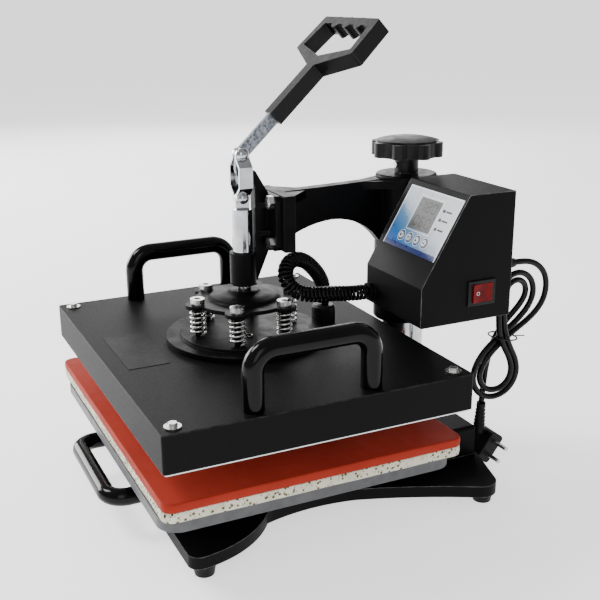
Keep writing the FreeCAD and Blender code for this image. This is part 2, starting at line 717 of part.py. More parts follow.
def box_profile(inset):
    """The side outline of the box, moved in by a wall."""
    turn = math.radians(slope_angle)
    low = inset * math.tan((math.pi / 2 - turn) / 2)
    high = inset * math.tan(turn / 2)
    return [(box_front + inset, box_bottom + inset), (box_front + inset, slope_low_z - low),
            (slope_top_y + high, box_top - inset), (box_back, box_top - inset),
            (box_back, box_bottom + inset)]


def make_box_shell():
    outer = prism([V(box_x0, y, z) for y, z in box_profile(0)], V(box_x1 - box_x0, 0, 0))
    w = box_sheet
    inner = prism([V(box_x0 + w, y, z) for y, z in box_profile(w)], V(box_x1 - box_x0 - 2 * w, 0, 0))
    side_edges = [e for e in outer.Edges
                  if abs(e.tangentAt(e.FirstParameter).x) > 0.99 and e.BoundBox.YMax < box_back - 1]
    outer = outer.makeFillet(1.4, side_edges)
    body = outer.cut(inner)
    body = body.cut(slope_plate(lcd_x0 + 2, lcd_x1 - 2, lcd_s0 + 2, lcd_s1 - 2, -3, 3))
    for x in button_places():
        body = body.cut(slope_rod(x, button_s, button_r + free, -3, 3))
    for s in led_s:
        body = body.cut(slope_rod(led_x, s, led_r + fit, -3, 3))
    body = body.cut(box(box_x1 - 3, box_x1 + 1, switch_y - 14, switch_y + 14, switch_z - 11, switch_z + 11))
    body = body.cut(rod_y(gland_r - 2 + fit, gland_x, box_front - 1, box_front + 3, gland_z))
    return body


def make_back_cover():
    w = box_sheet
    plate = box(box_x0 + w + fit, box_x1 - w - fit, box_back - w, box_back,
                box_bottom + w + fit, box_top - w - fit)
    return plate.cut(rod_y(7.0 + fit, mains_x, box_back - 3, box_back + 1, mains_z))


def make_box_screws():
    screws = []
    for x in (box_x0 + 8, box_x1 - 8):
        for z in (box_bottom + 8, box_top - 8):
            screws.append(rod_y(3.0, x, box_back, box_back + 1.6, z))
    return group(screws)


def make_bracket():
    block = box(24, box_x0, post_y - 16, post_y + 16, 200, 290)
    return block.cut(cyl(sleeve_r + fit, 0, post_y, 190, 300))


def make_overlay():
    body = slope_plate(overlay_x0, overlay_x1, overlay_s0, overlay_s1, 0, overlay_t)
    body = body.cut(slope_plate(lcd_x0, lcd_x1, lcd_s0, lcd_s1, -1, 2))
    for x in button_places():
        body = body.cut(slope_rod(x, button_s, button_r + free, -1, 2))
    for s in led_s:
        body = body.cut(slope_rod(led_x, s, led_r + fit, -1, 2))
    return body


def make_button(x):
    cap = cyl(button_r, 0, 0, -4, 1.8)
    rim = [e for e in cap.Edges if e.BoundBox.ZMin > 1.7]
    cap = cap.makeFillet(0.5, rim)
    cap.translate(V(x, button_s, 0))
    return on_slope(cap)


def make_leds():
    return group([slope_rod(led_x, s, led_r, -4, 1.2) for s in led_s])


def make_switch_frame():
    x = box_x1
    bezel = box(x, x + 2.2, switch_y - switch_w / 2, switch_y + switch_w / 2,
                switch_z - switch_h / 2, switch_z + switch_h / 2)
    bezel = bezel.makeFillet(1.0, [e for e in bezel.Edges if e.BoundBox.XMin > x + 2.1])
    can = box(x - 20, x, switch_y - 13.8, switch_y + 13.8, switch_z - 10.8, switch_z + 10.8)
    body = fuse([bezel, can])
    half_w, half_h = rocker_w / 2 + free, rocker_h / 2 + free
    cavity = box(x - 16, x + 3, switch_y - half_w, switch_y + half_w, switch_z - half_h, switch_z + half_h)
    body = body.cut(cavity)
    reach = rocker_h / 2 + pivot_len + 0.2
    return body.cut(cyl(pivot_r + running, x, switch_y, switch_z - reach, switch_z + reach))


def make_rocker():
    """A shallow V-faced rocker on an upright pin, pressed in on its near side at rest."""
    w, h = rocker_w / 2, rocker_h / 2
    proud = 3.6
    drop = w * math.sin(math.radians(rocker_tilt))
    points = [V(-2, 1 - w, -h), V(proud, -w, -h), V(proud - drop, 0, -h), V(proud, w, -h),
              V(-2, w - 1, -h), V(-7, 0, -h)]
    pivot = cyl(pivot_r, 0, 0, -h - pivot_len, h + pivot_len)
    body = fuse([prism(points, V(0, 0, 2 * h)), pivot])
    body.rotate(V(0, 0, 0), Z_AXIS, rocker_tilt / 2)
    body.translate(V(box_x1, switch_y, switch_z))
    return body


nodes["box_shell"] = make_box_shell()
nodes["box_back_cover"] = make_back_cover()
nodes["box_screws"] = make_box_screws()
nodes["box_bracket"] = make_bracket()
nodes["control_overlay"] = make_overlay()
nodes["lcd_window"] = slope_plate(lcd_x0 + fit, lcd_x1 - fit, lcd_s0 + fit, lcd_s1 - fit, 0, overlay_t)
nodes["indicator_leds"] = make_leds()
nodes["control_board"] = slope_plate(box_x0 + 8, box_x1 - 8, 6, slope_len - 4, -8.6, -7)
nodes["switch_frame"] = make_switch_frame()
nodes["power_rocker"] = make_rocker()
for number, place in enumerate(button_places(), 1):
    nodes["button_%d" % number] = make_button(place)


# ---------------------------------------------------------------- cords and their fittings
coil_exit_y = box_front - 5
curly_route = [
    (gland_x, coil_exit_y, gland_z), (gland_x, 99, gland_z), (45.5, 80, 199.3), (43, 60, 200),
    (39.5, 44.5, 202), (33, 33.5, 211.5), (25, 34, 224.5), (17, 45, 232), (11, 60, 229), (7, 73, 219),
    (1, 85, 205), (socket_x, socket_y, 191), (socket_x, socket_y, cover_top + socket_h),
]


def make_curly_gland():
    ring = rod_y(gland_r, gland_x, coil_exit_y, box_front, gland_z)
    sleeve = rod_y(gland_r - 2, gland_x, box_front, box_front + 8, gland_z)
    return fuse([ring, sleeve])


def make_mains_gland():
    y = box_back
    taper = Part.makeCone(7.5, mains_r + 1.2, relief_len - 3, V(mains_x, y + 3, mains_z), Y_AXIS)
    body = fuse([rod_y(10.0, mains_x, y, y + 3, mains_z), taper, rod_y(7.0, mains_x, y - 8, y, mains_z)])
    return body


nodes["curly_gland"] = make_curly_gland()
nodes["mains_gland"] = make_mains_gland()
nodes["curly_cord"] = cord("curly_cord", curly_route, coil_r)

mains_route = [
    (118, box_back + relief_len, mains_z), (118, 257, 229.5), (118, 273, 224.5), (117.5, 285, 212),
    (117, 288, 195), (116.5, 283, 179), (115.5, 270, 166), (115, 254, 156.5), (115, 239, 147),
    (115, 225, 136.5), (115, 213.5, 123), (115.5, 209.7, 108), (116.5, 218.2, 96.1), (118, 231.4, 93.8),
    (119.5, 242.9, 100.5), (121, 247, 114), (121.7, 242.5, 129), (121.7, 234, 143), (121.7, 228, 157),
    (121.7, 226.3, 172), (121, 226.3, 188), (120, 227.5, 203.2), (118.5, 237, 215.8), (117.5, 253.2, 218.6),
    (116.5, 267.4, 210.4), (116, 273, 195), (115.5, 268, 179.6), (115, 257, 168), (115, 243.5, 158),
    (115, 229.5, 149), (115, 215.5, 138), (115, 204.5, 123), (115.5, 202, 105.1), (116.5, 212.3, 90.3),
    (118, 229.8, 85.6), (119.5, 246.2, 93.3), (121, 253.7, 109.7), (121.7, 250.5, 126), (121.7, 242, 141),
    (121.7, 235.5, 156), (121.5, 233, 171), (121, 232, 186), (120, 232.6, 199), (118, 240.3, 208.2),
    (116, 252, 210.2), (113.5, 262.4, 204.2), (111.5, 266.5, 193), (109.5, 262.4, 181.8), (108.5, 253, 171.5),
    (108.3, 241.5, 161), (108, 232.5, 147.5), (107.5, 227.5, 132.5), (106.5, 225, 117), (105.7, 224, 102),
    (105, 223.4, 88), (104.5, 223.2, 76),
]
nodes["mains_cord"] = cord("mains_cord", mains_route, mains_r)

plug_centre = V(105, 228.5, 28)          # the pins point to the operator's right
plug_tilt = -37.0                        # the plug's long side leans back at the top
plug_x, plug_w, plug_t = 26.0, 33.0, 17.0
pin_r, pin_len, pin_pitch = 2.2, 20.0, 15.0


def at_plug(shape):
    """Takes a shape drawn upright at the origin to the hanging plug."""
    shape.rotate(V(0, 0, 0), X_AXIS, plug_tilt)
    shape.translate(plug_centre)
    return shape


def make_plug():
    body = box(-plug_x / 2, plug_x / 2, -plug_t / 2, plug_t / 2, -plug_w / 2, plug_w / 2)
    body = body.makeFillet(4.0, [e for e in body.Edges if abs(e.tangentAt(e.FirstParameter).x) > 0.99])
    body = at_plug(body)
    end, before = V(*mains_route[-1]), V(*mains_route[-2])
    down = (end - before).normalize()
    boot = Part.makeCone(mains_r + 1.6, 6.8, 34, end, down)
    return fuse([body, boot])


def make_pins():
    pins = []
    for z in (-pin_pitch / 2, pin_pitch / 2):
        pins.append(at_plug(rod_x(pin_r, plug_x / 2, plug_x / 2 + pin_len, 0, z)))
    return group(pins)


def make_tie():
    """A wire twist tie round the strands where they cross."""
    ring = Part.makeTorus(14.6, 0.8)
    ring.rotate(V(0, 0, 0), X_AXIS, -8)
    ring.translate(V(115, 237.5, 151))
    tail = Part.makeCylinder(0.6, 14, V(115, 251.4, 149.2), V(0, 0.98, -0.15))
    return fuse([ring, tail])


nodes["plug"] = make_plug()
nodes["plug_pins"] = make_pins()
nodes["cord_tie"] = make_tie()


# ---------------------------------------------------------------- frame and files
def machine_origin():
    """The middle of the machine's footprint, on the table, leaving out the free mains cord."""
    loose = {"mains_cord", "plug", "plug_pins", "cord_tie"}
    boxes = [shape.BoundBox for name, shape in nodes.items() if name not in loose]
    x = (min(b.XMin for b in boxes) + max(b.XMax for b in boxes)) / 2
    y = (min(b.YMin for b in boxes) + max(b.YMax for b in boxes)) / 2
    return V(x, y, min(b.ZMin for b in boxes))


os.makedirs("parts", exist_ok=True)
origin = machine_origin()
print("origin", origin, "nodes", len(nodes))
for name, shape in nodes.items():
    if not shape.isValid():
        print("not valid:", name)
    shape.translate(-origin)
    shape.exportStep("parts/%s.step" % name)
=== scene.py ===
import bmesh
import bpy
import json
import math
from mathutils import Matrix, Vector


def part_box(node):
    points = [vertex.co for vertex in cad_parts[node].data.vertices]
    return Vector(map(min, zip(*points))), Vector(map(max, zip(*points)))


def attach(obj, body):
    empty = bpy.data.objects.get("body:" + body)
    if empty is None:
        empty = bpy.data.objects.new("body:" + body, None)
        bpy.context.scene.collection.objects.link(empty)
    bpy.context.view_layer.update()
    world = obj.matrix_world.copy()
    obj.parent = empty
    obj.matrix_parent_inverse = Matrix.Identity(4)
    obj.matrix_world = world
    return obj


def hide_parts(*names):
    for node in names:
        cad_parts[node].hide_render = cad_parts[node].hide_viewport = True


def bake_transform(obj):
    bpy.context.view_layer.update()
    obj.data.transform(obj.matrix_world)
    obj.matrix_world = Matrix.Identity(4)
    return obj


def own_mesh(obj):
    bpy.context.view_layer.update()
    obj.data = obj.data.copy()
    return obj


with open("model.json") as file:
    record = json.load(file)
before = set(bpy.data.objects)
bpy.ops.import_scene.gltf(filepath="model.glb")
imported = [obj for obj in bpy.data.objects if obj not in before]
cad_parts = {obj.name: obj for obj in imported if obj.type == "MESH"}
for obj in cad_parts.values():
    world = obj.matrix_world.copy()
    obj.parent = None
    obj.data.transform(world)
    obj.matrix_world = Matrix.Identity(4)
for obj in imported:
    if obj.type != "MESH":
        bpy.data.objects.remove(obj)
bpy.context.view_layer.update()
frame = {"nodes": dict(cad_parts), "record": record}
MM = 0.001


# ---------------------------------------------------------------- places from the CAD
def middle(node):
    low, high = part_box(node)
    return (low + high) / 2


cover_low, cover_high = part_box("platen_cover")
cover_centre = Vector(((cover_low.x + cover_high.x) / 2, (cover_low.y + cover_high.y) / 2, cover_high.z))
ram_axis = middle("ram")


def place(x, y, z):
    """A point of the press's drawing, in mm from the ram axis and the table, in the row frame."""
    return Vector((ram_axis.x + x * MM, ram_axis.y + y * MM, z * MM))


def add_object(name, data):
    """A new object with this data, in the scene's collection."""
    made = bpy.data.objects.new(name, data)
    bpy.context.scene.collection.objects.link(made)
    return made


# ---------------------------------------------------------------- camera
CAMERA_OFFSET = Vector((0.8678, -0.3488, 0.3353))     # from the middle of the cover's top
CAMERA_AZIMUTH, CAMERA_ELEVATION, CAMERA_ROLL = 64.632, 17.645, -0.386
LENS = 57.96


def make_camera():
    data = bpy.data.cameras.new("camera")
    data.lens = LENS
    data.sensor_width = 36.0
    camera = add_object("camera", data)
    az, el = math.radians(CAMERA_AZIMUTH), math.radians(CAMERA_ELEVATION)
    back = Vector((math.sin(az) * math.cos(el), -math.cos(az) * math.cos(el), math.sin(el)))
    right = (-back).cross(Vector((0, 0, 1))).normalized()
    up = back.cross(right)
    turn = Matrix((right, up, back)).transposed().to_4x4()
    roll = Matrix.Rotation(math.radians(CAMERA_ROLL), 4, "Z")
    camera.matrix_world = Matrix.Translation(cover_centre + CAMERA_OFFSET) @ turn @ roll
    bpy.context.scene.camera = camera


make_camera()


# ---------------------------------------------------------------- mesh and curve helpers
def add_mesh(name, vertices, faces, smooth=True):
    mesh = bpy.data.meshes.new(name)
    mesh.from_pydata([tuple(v) for v in vertices], [], faces)
    for polygon in mesh.polygons:
        polygon.use_smooth = smooth
    mesh.update()
    return add_object(name, mesh)


def curve_points(points):
    """Points along the smooth line that has the route's points as its control points."""
    data = bpy.data.curves.new("route_line", "CURVE")
    data.dimensions = "3D"
    data.resolution_u = 8
    spline = data.splines.new("NURBS")
    spline.points.add(len(points) - 1)
    for control, point in zip(spline.points, points):
        control.co = (*point, 1.0)
    spline.order_u = 3
    spline.use_endpoint_u = True
    curve = add_object("route_line", data)
    bpy.context.view_layer.update()
    mesh = bpy.data.meshes.new_from_object(curve.evaluated_get(bpy.context.evaluated_depsgraph_get()))
    line = [v.co.copy() for v in mesh.vertices]
    bpy.data.objects.remove(curve)
    return line


def line_length(line):
    return sum((b - a).length for a, b in zip(line, line[1:]))


def resample(line, step):
    """The same line with points a fixed step apart."""
    total = line_length(line)
    count = max(2, round(total / step))
    out, walked, at = [line[0].copy()], 0.0, 0
    for i in range(1, count):
        want = total * i / count
        while walked + (line[at + 1] - line[at]).length < want:
            walked += (line[at + 1] - line[at]).length
            at += 1
        part = (want - walked) / (line[at + 1] - line[at]).length
        out.append(line[at].lerp(line[at + 1], part))
    return out + [line[-1].copy()]


def frames_along(line):
    """A direction and two cross directions at each point, turned as little as possible."""
    last = len(line) - 1
    ahead = [(line[min(i + 1, last)] - line[max(i - 1, 0)]).normalized() for i in range(last + 1)]
    side = ahead[0].orthogonal().normalized()
    out = []
    for t in ahead:
        side = (side - t * side.dot(t)).normalized()
        out.append((t, side, t.cross(side)))
    return out


def tube(name, line, radius, sides):
    """A closed round tube along a line of points; radius is a number or one value for each point."""
    radii = radius if isinstance(radius, list) else [radius] * len(line)
    vertices = []
    for point, (_, a, b), r in zip(line, frames_along(line), radii):
        for k in range(sides):
            angle = 2 * math.pi * k / sides
            vertices.append(point + a * (r * math.cos(angle)) + b * (r * math.sin(angle)))
    faces = []
    for i in range(len(line) - 1):
        for k in range(sides):
            j = (k + 1) % sides
            faces.append((i * sides + k, i * sides + j, (i + 1) * sides + j, (i + 1) * sides + k))
    last = (len(line) - 1) * sides
    faces.append(tuple(range(sides))[::-1])
    faces.append(tuple(last + k for k in range(sides)))
    return add_mesh(name, vertices, faces)


# ---------------------------------------------------------------- cords
COIL_RADIUS = 6.5 * MM                    # to the middle of the strand
STRAND_RADIUS = 1.7 * MM
COIL_PITCH = 4.0 * MM
STEPS_PER_TURN = 14
STRAND_SIDES, MAINS_SIDES, BOOT_SIDES = 10, 18, 28

curly_route = [place(*p) for p in (
    (49, 115, 197.5), (49, 99, 197.5), (45.5, 80, 199.3), (43, 60, 200), (39.5, 44.5, 202),
    (33, 33.5, 211.5), (25, 34, 224.5), (17, 45, 232), (11, 60, 229), (7, 73, 219),
    (1, 85, 205), (-5, 92.5, 191), (-5, 92.5, 172),
)]


def make_curly_cord():
    """A helix about the route's smooth line, drawn in to the line at both ends."""
    line = curve_points(curly_route)
    length = line_length(line)
    turns = round(length / COIL_PITCH)
    line = resample(line, length / (turns * STEPS_PER_TURN))
    strand = []
    last = len(line) - 1
    for i, (point, (_, a, b)) in enumerate(zip(line, frames_along(line))):
        angle = 2 * math.pi * i / STEPS_PER_TURN
        drawn_in = min(1.0, i / STEPS_PER_TURN, (last - i) / STEPS_PER_TURN)
        r = COIL_RADIUS * math.sin(drawn_in * math.pi / 2)
        strand.append(point + a * (r * math.cos(angle)) + b * (r * math.sin(angle)))
    piece = tube("curly_cord_strand", strand, STRAND_RADIUS, STRAND_SIDES)
    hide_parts("curly_cord")
    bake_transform(piece)
    return piece


curly_cord = make_curly_cord()

MAINS_RADIUS = 3.1 * MM
mains_route = [place(*p) for p in (
    (118, 244, 229), (118, 257, 229.5), (118, 273, 224.5), (117.5, 285, 212),
    (117, 288, 195), (116.5, 283, 179), (115.5, 270, 166), (115, 254, 156.5), (115, 239, 147),
    (115, 225, 136.5), (115, 213.5, 123), (115.5, 209.7, 108), (116.5, 218.2, 96.1), (118, 231.4, 93.8),
    (119.5, 242.9, 100.5), (121, 247, 114), (121.7, 242.5, 129), (121.7, 234, 143), (121.7, 228, 157),
    (121.7, 226.3, 172), (121, 226.3, 188), (120, 227.5, 203.2), (118.5, 237, 215.8), (117.5, 253.2, 218.6),
    (116.5, 267.4, 210.4), (116, 273, 195), (115.5, 268, 179.6), (115, 257, 168), (115, 243.5, 158),
    (115, 229.5, 149), (115, 215.5, 138), (115, 204.5, 123), (115.5, 202, 105.1), (116.5, 212.3, 90.3),
    (118, 229.8, 85.6), (119.5, 246.2, 93.3), (121, 253.7, 109.7), (121.7, 250.5, 126), (121.7, 242, 141),
    (121.7, 235.5, 156), (121.5, 233, 171), (121, 232, 186), (120, 232.6, 199), (118, 240.3, 208.2),
    (116, 252, 210.2), (113.5, 262.4, 204.2), (111.5, 266.5, 193), (109.5, 262.4, 181.8), (108.5, 253, 171.5),
    (108.3, 241.5, 161), (108, 232.5, 147.5), (107.5, 227.5, 132.5), (106.5, 225, 117), (105.7, 224, 102),
    (105, 223.4, 88), (104.5, 223.2, 76),
)]

PLUG_CENTRE = place(105, 228.5, 28)
PLUG_TURN = Matrix.Rotation(math.radians(-37.0), 4, "X")
PLUG_X, PLUG_Y, PLUG_Z = 26.0 * MM, 17.0 * MM, 33.0 * MM
PLUG_CORNER, PLUG_EDGE = 4.0 * MM, 0.9 * MM
RIB_WIDTH, RIB_PLACES = 1.2 * MM, (-4, -1, 2, 5)
BOOT_LENGTH = 34.0 * MM
BOOT_TOP, BOOT_FLARE = 4.7 * MM, 2.1 * MM         # its radius at the cord, and what that grows by
BOOT_GROOVE, BOOT_STEPS = 0.7 * MM, 34


def make_plug():
    """A moulded plug body with round edges, finger ribs and a ribbed boot for the cord."""
    body = bmesh.new()
    bmesh.ops.create_cube(body, size=1.0)
    bmesh.ops.scale(body, vec=(PLUG_X, PLUG_Y, PLUG_Z), verts=body.verts)
    along = [e for e in body.edges if abs((e.verts[0].co - e.verts[1].co).x) > PLUG_X / 2]
    bmesh.ops.bevel(body, geom=along, offset=PLUG_CORNER, segments=6, profile=0.5, affect="EDGES")
    ends = [e for e in body.edges if all(abs(abs(v.co.x) - PLUG_X / 2) < 1e-6 for v in e.verts)]
    bmesh.ops.bevel(body, geom=ends, offset=PLUG_EDGE, segments=3, profile=0.5, affect="EDGES")
    for x in RIB_PLACES:
        rib = bmesh.ops.create_cube(body, size=1.0)["verts"]
        bmesh.ops.scale(body, vec=(RIB_WIDTH, PLUG_Y * 0.5, PLUG_Z * 0.997), verts=rib)
        bmesh.ops.translate(body, vec=(x * MM, 0, 0), verts=rib)
    body.transform(Matrix.Translation(PLUG_CENTRE) @ PLUG_TURN)
    end = mains_route[-1]
    down = (end - mains_route[-2]).normalized()
    rings, radii = [], []
    for i in range(BOOT_STEPS + 1):
        share = i / BOOT_STEPS
        plain_here = i < 4 or i > BOOT_STEPS - 6 or i % 4 < 2
        rings.append(end + down * (BOOT_LENGTH * share))
        radii.append(BOOT_TOP + BOOT_FLARE * share - (0.0 if plain_here else BOOT_GROOVE))
    boot = tube("plug_boot_shape", rings, radii, BOOT_SIDES)
    body.from_mesh(boot.data)
    bpy.data.objects.remove(boot)
    mesh = bpy.data.meshes.new("plug_moulding")
    body.to_mesh(mesh)
    body.free()
    for polygon in mesh.polygons:
        polygon.use_smooth = True
    piece = add_object("plug_moulding", mesh)
    keep = piece.modifiers.new("normals", "WEIGHTED_NORMAL")
    keep.keep_sharp = False
    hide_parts("plug")
    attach(piece, "arm")
    return piece


plug = make_plug()


def make_mains_cord():
    line = curve_points(mains_route)
    piece = tube("mains_cord_sheath", line, MAINS_RADIUS, MAINS_SIDES)
    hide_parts("mains_cord")
    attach(piece, "arm")
    return piece


mains_cord = make_mains_cord()


# ---------------------------------------------------------------- pads
def rounded_outline(half_x, half_y, corner, step):
    """Points round a rectangle with round corners, starting on its right side."""
    points = []
    corners = ((1, 1, 0), (-1, 1, 90), (-1, -1, 180), (1, -1, 270))
    for sx, sy, start in corners:
        cx, cy = sx * (half_x - corner), sy * (half_y - corner)
        for k in range(7):
            a = math.radians(start + 90 * k / 6)
            points.append(Vector((cx + corner * math.cos(a), cy + corner * math.sin(a), 0)))
    out = []
    for a, b in zip(points, points[1:] + points[:1]):
        parts = max(1, round((b - a).length / step))
        out += [a.lerp(b, k / parts) for k in range(parts)]
    return out


EDGE_STEPS = 4                            # steps of a pad's rounded edge, bottom and top
FACE_SHARES = (0.985, 0.95, 0.88, 0.75, 0.5, 0.2)   # the flat faces' rings, as shares of the outline
SAG = 0.15 * MM                           # how far the top sinks towards its middle


def soft_slab(name, node, corner, edge, bulge, wave, seed):
    """A slab of soft sheet with rounded edges, slightly full sides and a slightly uneven cut."""
    low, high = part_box(node)
    centre = (low + high) / 2
    half_x, half_y = (high.x - low.x) / 2, (high.y - low.y) / 2
    height = high.z - low.z
    outline = rounded_outline(half_x, half_y, corner, 6 * MM)
    profile = []
    for k in range(EDGE_STEPS + 1):
        a = math.radians(-90 + 90 * k / EDGE_STEPS)
        profile.append((edge * (1 - math.cos(a)) + bulge, edge * (1 + math.sin(a))))
    profile.append((0.0, height / 2))
    for k in range(EDGE_STEPS + 1):
        a = math.radians(90 * k / EDGE_STEPS)
        profile.append((edge * (1 - math.cos(a)) + bulge, height - edge * (1 - math.sin(a))))
    count = len(outline)
    vertices = []
    for inset, z in profile:
        for i, p in enumerate(outline):
            cut = wave * (1 + math.sin(i * 0.53 + seed) * math.sin(i * 0.171 + 2 * seed)) / 2
            scale_x = (half_x - inset - cut) / half_x
            scale_y = (half_y - inset - cut) / half_y
            vertices.append(Vector((centre.x + p.x * scale_x, centre.y + p.y * scale_y, low.z + z)))
    rings, inner = len(profile), len(FACE_SHARES)
    for face_z, sag in ((low.z, 0.0), (high.z, SAG)):
        for share in FACE_SHARES:
            for p in outline:
                vertices.append(Vector((centre.x + p.x * share * (1 - edge / half_x),
                                        centre.y + p.y * share * (1 - edge / half_y),
                                        face_z - sag * (1 - share))))
    faces = []

    def band(a, b, flip):
        for i in range(count):
            j = (i + 1) % count
            quad = (a * count + i, a * count + j, b * count + j, b * count + i)
            faces.append(quad[::-1] if flip else quad)

    for k in range(rings - 1):
        band(k, k + 1, False)
    band(0, rings, True)
    band(rings - 1, rings + inner, False)
    for k in range(inner - 1):
        band(rings + k, rings + k + 1, True)
        band(rings + inner + k, rings + inner + k + 1, False)
    bottom, top = rings + inner - 1, rings + 2 * inner - 1
    faces.append(tuple(range(bottom * count, (bottom + 1) * count))[::-1])
    faces.append(tuple(range(top * count, (top + 1) * count)))
    piece = add_mesh(name, vertices, faces)
    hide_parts(node)
    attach(piece, "base")
    return piece


foam = soft_slab("foam_slab", "foam_pad", 10 * MM, 0.9 * MM, 0.25 * MM, 0.5 * MM, 1.3)
rubber = soft_slab("silicone_slab", "silicone_pad", 10 * MM, 1.3 * MM, 0.2 * MM, 0.25 * MM, 4.1)


# ---------------------------------------------------------------- small details
SLOPE = math.atan2(84.0, 50.0)            # the control box's slanted face
SLOPE_FOOT_Y, SLOPE_FOOT_Z = 120.0, 224.0
SLOPE_NORMAL = Vector((0, -math.sin(SLOPE), math.cos(SLOPE)))
FILM = 0.6                                # the printed film's thickness


def on_slope(x, s, n):
    """A point on the slanted face: x across, s up the slope and n outwards, in mm."""
    y = SLOPE_FOOT_Y + s * math.cos(SLOPE) - n * math.sin(SLOPE)
    z = SLOPE_FOOT_Z + s * math.sin(SLOPE) + n * math.cos(SLOPE)
    return place(x, y, z)


def slope_plates(name, outlines, n0, n1):
    """Thin raised plates on the slanted face, each from an outline of (x, s) points."""
    vertices, faces = [], []
    for outline in outlines:
        first, count = len(vertices), len(outline)
        vertices += [on_slope(x, s, n0) for x, s in outline] + [on_slope(x, s, n1) for x, s in outline]
        faces.append(tuple(first + count + k for k in range(count)))
        faces.append(tuple(first + k for k in range(count))[::-1])
        for k in range(count):
            j = (k + 1) % count
            faces.append((first + k, first + j, first + count + j, first + count + k))
    return add_mesh(name, vertices, faces, smooth=False)


def ring_mesh(name, centre, axis, radius, wire, sides=40, round_sides=10):
    """A round wire ring about an axis."""
    a = axis.orthogonal().normalized()
    b = axis.cross(a).normalized()
    vertices, faces = [], []
    for i in range(sides):
        t = 2 * math.pi * i / sides
        out = a * math.cos(t) + b * math.sin(t)
        for k in range(round_sides):
            u = 2 * math.pi * k / round_sides
            vertices.append(centre + out * (radius + wire * math.cos(u)) + axis * (wire * math.sin(u)))
    for i in range(sides):
        for k in range(round_sides):
            i2, k2 = (i + 1) % sides, (k + 1) % round_sides
            here, there = i * round_sides, i2 * round_sides
            faces.append((here + k, there + k, there + k2, here + k2))
    return add_mesh(name, vertices, faces)


def rectangle(x0, s0, x1, s1):
    return [(x0, s0), (x1, s0), (x1, s1), (x0, s1)]


SEGMENTS = {"0": "abcdef", "1": "bc", "6": "acdefg", "8": "abcdefg"}


def digit(mark, x, s, width, height, bar):
    """The lit bars of one seven-segment figure, as outlines."""
    half = height / 2
    bars = {
        "a": (x + bar, s + height - bar, x + width - bar, s + height),
        "g": (x + bar, s + half - bar / 2, x + width - bar, s + half + bar / 2),
        "d": (x + bar, s, x + width - bar, s + bar),
        "f": (x, s + half + bar / 2, x + bar, s + height - bar / 2),
        "b": (x + width - bar, s + half + bar / 2, x + width, s + height - bar / 2),
        "e": (x, s + bar / 2, x + bar, s + half - bar / 2),
        "c": (x + width - bar, s + bar / 2, x + width, s + half - bar / 2),
    }
    return [rectangle(*bars[key]) for key in SEGMENTS[mark]]


DIGIT_X, DIGIT_PITCH, DIGIT_ROWS = 79.0, 10.0, (("180", 69.0), ("060", 53.5))
DIGIT_WIDTH, DIGIT_HEIGHT, DIGIT_BAR = 7.0, 11.0, 1.3


def make_digits():
    outlines = []
    for text, s in DIGIT_ROWS:
        for k, mark in enumerate(text):
            outlines += digit(mark, DIGIT_X + k * DIGIT_PITCH, s, DIGIT_WIDTH, DIGIT_HEIGHT, DIGIT_BAR)
    piece = slope_plates("lcd_digits", outlines, FILM - 0.05, FILM + 0.05)
    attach(piece, "arm")
    return piece


LAMP_ROWS = (57.0, 66.5, 76.0)


def make_overlay_frame():
    """The pale printed line round the window and the dark dashes beside the lamps."""
    x0, x1, s0, s1, w = 72.5, 113.0, 48.0, 85.0, 0.7
    outlines = [
        rectangle(x0, s0, x1, s0 + w), rectangle(x0, s1 - w, x1, s1),
        rectangle(x0, s0 + w, x0 + w, s1 - w), rectangle(x1 - w, s0 + w, x1, s1 - w),
    ]
    frame_lines = slope_plates("window_border", outlines, FILM - 0.05, FILM + 0.08)
    dashes = [rectangle(121.5, s - 0.9, 130.5, s + 0.9) for s in LAMP_ROWS]
    lamp_marks = slope_plates("lamp_marks", dashes, FILM - 0.05, FILM + 0.06)
    for piece in (frame_lines, lamp_marks):
        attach(piece, "arm")
    return frame_lines, lamp_marks


def ring_outline(x, s, r, sides=18):
    return [(x + r * math.cos(2 * math.pi * k / sides), s + r * math.sin(2 * math.pi * k / sides))
            for k in range(sides)]


BUTTON_X, BUTTON_PITCH, BUTTON_S, BUTTONS = 72.0, 13.6, 40.5, 4
BUTTON_FACE = 1.75                        # how far a button stands out of the slanted face
RIM_SIDES, RIM_ROUND = 36, 8


def make_button_rims():
    """A dark printed ring round each button, with a pale one outside it."""
    rims = []
    for name, radius, wire in (("button_rims_dark", 4.6, 0.5), ("button_rims_pale", 5.6, 0.45)):
        vertices, faces = [], []
        for i in range(BUTTONS):
            centre = on_slope(BUTTON_X + i * BUTTON_PITCH, BUTTON_S, FILM - 0.3)
            ring = ring_mesh("rim", centre, SLOPE_NORMAL, radius * MM, wire * MM, RIM_SIDES, RIM_ROUND)
            first = len(vertices)
            vertices += [v.co.copy() for v in ring.data.vertices]
            faces += [tuple(first + k for k in p.vertices) for p in ring.data.polygons]
            bpy.data.objects.remove(ring)
        piece = add_mesh(name, vertices, faces)
        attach(piece, "arm")
        rims.append(piece)
    return rims


def make_button_marks():
    """A plain dark mark on each button: a dot, an arrow down, an arrow up and a bar."""
    marks = [
        lambda x, s: ring_outline(x, s, 1.5),
        lambda x, s: [(x, s - 1.7), (x + 1.8, s + 1.2), (x - 1.8, s + 1.2)],
        lambda x, s: [(x, s + 1.7), (x - 1.8, s - 1.2), (x + 1.8, s - 1.2)],
        lambda x, s: rectangle(x - 1.7, s - 0.6, x + 1.7, s + 0.6),
    ]
    pieces = []
    for i, mark in enumerate(marks):
        x = BUTTON_X + i * BUTTON_PITCH
        piece = slope_plates("button_mark_%d" % (i + 1), [mark(x, BUTTON_S)], BUTTON_FACE,
                             BUTTON_FACE + 0.1)
        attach(piece, "button_%d" % (i + 1))
        pieces.append(piece)
    return pieces


